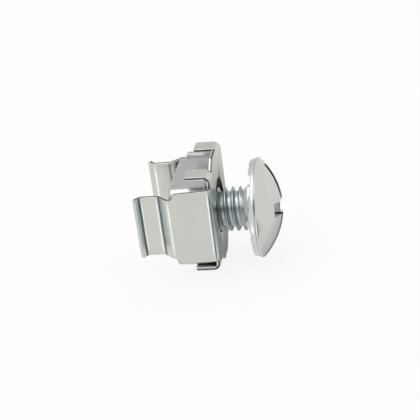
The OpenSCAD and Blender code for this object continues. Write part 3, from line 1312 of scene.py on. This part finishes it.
class MakeScrew(bpy.types.Operator):
    """Makes the screw with its thread, teeth and drive"""

    bl_idname = "cage_nut.screw"
    bl_label = "Screw"

    def execute(self, context):
        settings = context.scene.cage_nut
        screw = settings.screw
        metal = zinc_material(settings.finish, "screw")
        # Painted shade: the thread and the core under it are drawn in the screw's
        # zinc made darker and bluer.
        rolled = zinc_material(settings.finish, "thread")
        inner = zinc_material(settings.finish, "drive")
        self.make_head(screw, metal, inner)
        self.make_teeth(screw, metal)
        self.make_shank(screw, rolled)
        self.make_neck(screw, metal)
        self.make_thread(screw, rolled)
        return {"FINISHED"}

    def make_head(self, screw, metal, inner):
        """The flange and dome with the slot and the cross."""
        profile = [
            (r, h + HEAD_UNDERSIDE) for r, h in screw_head_profile(screw)
        ]
        obj = lathe("screw_head", profile, HEAD_STEPS)
        self.cut_drive(screw, obj)
        soften(obj, SOFT_EDGE * MM, SOFT_STEPS, SOFT_LIMIT)
        middle = AXIS_HEIGHT / MM
        dome = mm(screw.dome_r)
        centre = Vector((HEAD_UNDERSIDE + HEAD_HEIGHT - dome, 0.0, middle))
        # Painted shade: faces deep in the slot and the cross, and faces in the
        # crease between flange and dome, take the darker zinc of the drive.
        for face in obj.data.polygons:
            place = face.center / MM
            off = math.hypot(place.y, place.z - middle)
            sunk = dome - (place - centre).length
            rise = place.x - HEAD_UNDERSIDE - mm(screw.crease_h)
            in_drive = sunk > DRIVE_DEEP and off < DRIVE_NEAR and rise > DRIVE_ABOVE
            in_crease = 0.0 < rise < mm(screw.crease) and off > CREASE_OFF
            if in_drive or in_crease:
                face.material_index = 1
        finish_piece(obj, metal, inner)

    def cut_drive(self, screw, obj):
        """Cuts the slot and then the two arms of the cross."""
        top = HEAD_HEIGHT
        over = top + DRIVE_OVER
        reach = mm(SCREW_HIGH.y) + DRIVE_PAST
        floor = top - mm(screw.slot_depth)
        slot = [(-reach, over), (-reach, floor), (reach, floor), (reach, over)]
        half = mm(screw.cross_l) / 2.0
        deep = mm(screw.cross_depth)
        arm = [(half, over)]
        arm += [(half - far_in, top - share * deep) for far_in, share in CROSS_FLOOR]
        cross = [(-across, height) for across, height in arm]
        cross += [(0.0, top - deep)] + arm[::-1]
        cuts = (
            (slot, screw.slot_w, QUARTER),
            (cross, screw.cross_w, 0.0),
            (cross, screw.cross_w, QUARTER),
        )
        for outline, width, turn in cuts:
            cut(obj, drive_arm(outline, mm(width), screw.turn + turn))

    def make_shank(self, screw, rolled):
        """The core under the thread, with a chamfered tip."""
        root = mm(screw.thread_d) / 2.0 - mm(screw.thread_depth)
        tip = mm(SCREW_LOW.x)
        profile = [
            (0.0, tip), (root - TIP_CHAMFER[0], tip),
            (root, tip + TIP_CHAMFER[1]),
            (root, HEAD_UNDERSIDE), (0.0, HEAD_UNDERSIDE),
        ]
        obj = lathe("screw_shank", profile, ROUND_STEPS)
        finish_piece(obj, rolled)

    def make_neck(self, screw, metal):
        """The plain neck between the thread and the head."""
        crest = mm(screw.thread_d) / 2.0
        root = crest - mm(screw.thread_depth)
        start = HEAD_UNDERSIDE - mm(screw.neck)
        profile = [(0.0, start), (root - NECK_SUNK, start)]
        for out, on in NECK_FROM_START:
            profile.append((crest + out, start + on))
        for out, on in NECK_FROM_HEAD:
            profile.append((crest + out, HEAD_UNDERSIDE + on))
        profile.append((0.0, profile[-1][1]))
        obj = lathe("screw_neck", profile, ROUND_STEPS)
        finish_piece(obj, metal)

    def make_thread(self, screw, rolled):
        """The right-hand thread."""
        tip = mm(SCREW_LOW.x)
        values = {
            "Root radius": screw.thread_d / 2.0 - screw.thread_depth,
            "Depth": screw.thread_depth,
            "Pitch": screw.pitch,
            "Length": (HEAD_UNDERSIDE - tip - THREAD_SHORT) * MM,
            "Fade": THREAD_FADE * MM,
            "Material": rolled,
        }
        start = (tip + THREAD_START) * MM
        obj = grow("screw_thread", thread_tree(), values, start, screw.thread_turn)
        finish_piece(obj)

    def make_teeth(self, screw, metal):
        """The teeth under the flange."""
        outer = SCREW_HIGH.y - screw.taper
        width = TOOTH_SHARE * 2.0 * math.pi / screw.teeth
        values = {
            "Count": screw.teeth,
            "Inner radius": screw.tooth_in,
            "Outer radius": outer,
            "Inner width": screw.tooth_in * width,
            "Outer width": outer * width,
            "Height": screw.tooth_h,
            "Material": metal,
        }
        start = (HEAD_UNDERSIDE + mm(screw.tooth_h)) * MM
        obj = grow("screw_teeth", teeth_tree(), values, start)
        finish_piece(obj)


# ------------------------------------------------------------------- stage

# The cards of the light tent: the way to each, the angles where it starts to
# fade and where it ends, and how light it is.
TENT_CARDS = (
    ((0.17, -0.88, 0.44), 8.0, 28.0, 0.03),
    ((0.80, -0.39, -0.45), 12.0, 18.0, 0.03),
    ((0.16, 0.83, -0.58), 7.5, 12.0, 0.08),
    ((0.40, 0.60, -0.70), 10.0, 30.0, 0.72),
    ((-0.17, 0.88, 0.44), 8.0, 35.0, 0.8),
    ((0.42, -0.79, -0.44), 7.0, 12.0, 2.0),
    ((-0.52, -0.74, -0.44), 8.0, 13.0, 2.0),
    ((-0.10, -0.45, 0.88), 16.0, 33.0, 2.1),
)

# The tent's colour where it is dark and where it is plain.
TENT_DARK = (0.035, 0.075, 0.095, 1.0)
TENT_PLAIN = (0.76, 0.745, 0.70, 1.0)

# How much of what the camera sees of the floor is its own white.
FLOOR_WHITE = 0.85

# The width of the camera's sensor, in mm, and the nearest and farthest that it
# sees, in metres.
SENSOR_WIDTH = 36.0
NEAREST = 0.005
FARTHEST = 10.0


def tent_card(tree, way, direction, inner, outer, level):
    """The level where the way lies within the inner angle of the card's
    direction, and one where it lies beyond the outer."""
    toward = add(tree, "ShaderNodeVectorMath", operation="DOT_PRODUCT", Vector=way)
    toward.inputs[1].default_value = Vector(direction).normalized()
    fall = add(
        tree, "ShaderNodeMapRange", interpolation_type="SMOOTHSTEP",
        From_Min=math.cos(math.radians(outer)),
        From_Max=math.cos(math.radians(inner)),
        To_Min=1.0, To_Max=level, Value=toward.outputs["Value"],
    )
    return fall.outputs["Result"]


class MakeStage(bpy.types.Operator):
    """Makes the floor, the lamp, the surroundings and the camera"""

    bl_idname = "cage_nut.stage"
    bl_label = "Stage"

    def execute(self, context):
        settings = context.scene.cage_nut
        scene = context.scene
        self.make_floor(settings.stage, (*settings.finish.floor, 1.0))
        self.make_surroundings(scene, self.make_tent())
        self.make_lamp(settings.stage)
        self.make_camera(scene, settings.stage)
        scene.view_settings.view_transform = "Standard"
        return {"FINISHED"}

    def make_floor(self, stage, white):
        """A wide pale floor that shows white and keeps the part's shadow. In
        gloss the lower half of the pale light tent shows instead."""
        level = mm(CAGE_LOW.z) - mm(stage.floor_gap)
        half = mm(stage.floor_w) / 2.0
        corners = [(-half, -half, level), (half, -half, level),
                   (half, half, level), (-half, half, level)]
        floor = mesh_object("floor", corners, [(0, 1, 2, 3)])
        material = bpy.data.materials.new("Pale floor")
        tree = fresh_tree(material)
        seen = add(tree, "ShaderNodeLightPath").outputs
        share = worked_out(tree, "MULTIPLY", seen["Is Camera Ray"], FLOOR_WHITE)
        plain = add(tree, "ShaderNodeBsdfDiffuse", Color=white)
        glow = add(tree, "ShaderNodeEmission", Color=white, Strength=1.0)
        shown = two_shaders(
            tree, share, plain.outputs["BSDF"], glow.outputs["Emission"])
        through = add(tree, "ShaderNodeBsdfTransparent").outputs["BSDF"]
        either = two_shaders(tree, seen["Is Glossy Ray"], shown, through)
        add(tree, "ShaderNodeOutputMaterial", Surface=either)
        floor.data.materials.append(material)

    def make_tent(self):
        """The light tent as a function of direction: pale all round, with
        darker and lighter cards round the part."""
        tree = bpy.data.node_groups.new("Light tent", "ShaderNodeTree")
        face = tree.interface
        face.new_socket("Direction", in_out="INPUT", socket_type="NodeSocketVector")
        face.new_socket("Color", in_out="OUTPUT", socket_type="NodeSocketColor")
        way = add(tree, "NodeGroupInput").outputs["Direction"]
        unit = add(tree, "ShaderNodeVectorMath", operation="NORMALIZE", Vector=way)
        level = 1.0
        for card in TENT_CARDS:
            light = tent_card(tree, unit.outputs["Vector"], *card)
            level = worked_out(tree, "MULTIPLY", level, light)
        tint = two_colours(tree, level, TENT_DARK, TENT_PLAIN)
        boost = worked_out(tree, "MAXIMUM", level, 1.0)
        bright = add(tree, "ShaderNodeVectorMath", operation="SCALE",
                     Vector=tint, Scale=boost)
        add(tree, "NodeGroupOutput", Color=bright.outputs["Vector"])
        return tree

    def make_surroundings(self, scene, tent):
        """The light tent all round, plain white to the camera."""
        world = bpy.data.worlds.new("Light tent")
        tree = fresh_tree(world)
        way = add(tree, "ShaderNodeTexCoord").outputs["Generated"]
        light = add(tree, "ShaderNodeGroup", node_tree=tent, Direction=way)
        glow = add(tree, "ShaderNodeBackground", Color=light.outputs["Color"])
        white = add(tree, "ShaderNodeBackground", Color=(1.0, 1.0, 1.0, 1.0))
        seen = add(tree, "ShaderNodeLightPath").outputs["Is Camera Ray"]
        shown = two_shaders(
            tree, seen, glow.outputs["Background"], white.outputs["Background"])
        add(tree, "ShaderNodeOutputWorld", Surface=shown)
        scene.world = world

    def make_lamp(self, stage):
        """One soft square lamp overhead, on the ears' side."""
        light = bpy.data.lights.new("overhead", "AREA")
        light.shape = "SQUARE"
        light.size = stage.lamp_w
        light.energy = stage.lamp
        lamp = new_object("overhead", light)
        lamp.location = (stage.lamp_x, 0.0, stage.lamp_h)
        lamp.rotation_euler = (-lamp.location).to_track_quat("-Z", "Y").to_euler()

    def make_camera(self, scene, stage):
        """The camera, a long way round to the wall's side and above."""
        around = stage.around
        above = stage.above
        roll = stage.roll
        ahead = Vector((
            -math.sin(around) * math.cos(above),
            math.cos(around) * math.cos(above),
            -math.sin(above),
        ))
        right = Vector((math.cos(around), math.sin(around), 0.0))
        up = right.cross(ahead)
        side = right * math.cos(roll) - up * math.sin(roll)
        top = right * math.sin(roll) + up * math.cos(roll)
        aim = Vector((stage.aim_x, stage.aim_y, stage.aim_z))
        data = bpy.data.cameras.new("camera")
        data.sensor_width = SENSOR_WIDTH
        data.lens = stage.lens
        data.clip_start = NEAREST
        data.clip_end = FARTHEST
        camera = new_object("camera", data)
        turn = Matrix((side, top, -ahead)).transposed()
        camera.matrix_world = (
            Matrix.Translation(aim - ahead * stage.distance) @ turn.to_4x4()
        )
        scene.camera = camera


# ------------------------------------------------------------------- panel

STEPS = (MakeCage, MakeNut, MakeScrew, MakeStage)
SETTINGS = (CageSizes, NutSizes, ScrewSizes, FinishColours, StageSizes,
            CageNutSettings)


class CageNutPanel(bpy.types.Panel):
    """Lists the steps that make the part, and its sizes and colours"""

    bl_idname = "VIEW3D_PT_cage_nut"
    bl_label = "Cage nut"
    bl_space_type = "VIEW_3D"
    bl_region_type = "UI"
    bl_category = "Cage nut"

    def draw(self, context):
        settings = context.scene.cage_nut
        for step in STEPS:
            self.layout.operator(step.bl_idname)
        for group in CageNutSettings.__annotations__:
            part = getattr(settings, group)
            box = self.layout.box()
            box.label(text=type(part).__doc__)
            for setting in type(part).__annotations__:
                box.prop(part, setting)


def register():
    """Adds the steps, the settings and the panel."""
    for item in SETTINGS + STEPS + (CageNutPanel,):
        bpy.utils.register_class(item)
    bpy.types.Scene.cage_nut = PointerProperty(type=CageNutSettings)


def unregister():
    """Takes them away again."""
    del bpy.types.Scene.cage_nut
    for item in reversed(SETTINGS + STEPS + (CageNutPanel,)):
        bpy.utils.unregister_class(item)


def main():
    """Makes every piece and the stage."""
    register()
    bpy.ops.cage_nut.cage()
    bpy.ops.cage_nut.nut()
    bpy.ops.cage_nut.screw()
    bpy.ops.cage_nut.stage()


if __name__ == "__main__":
    main()
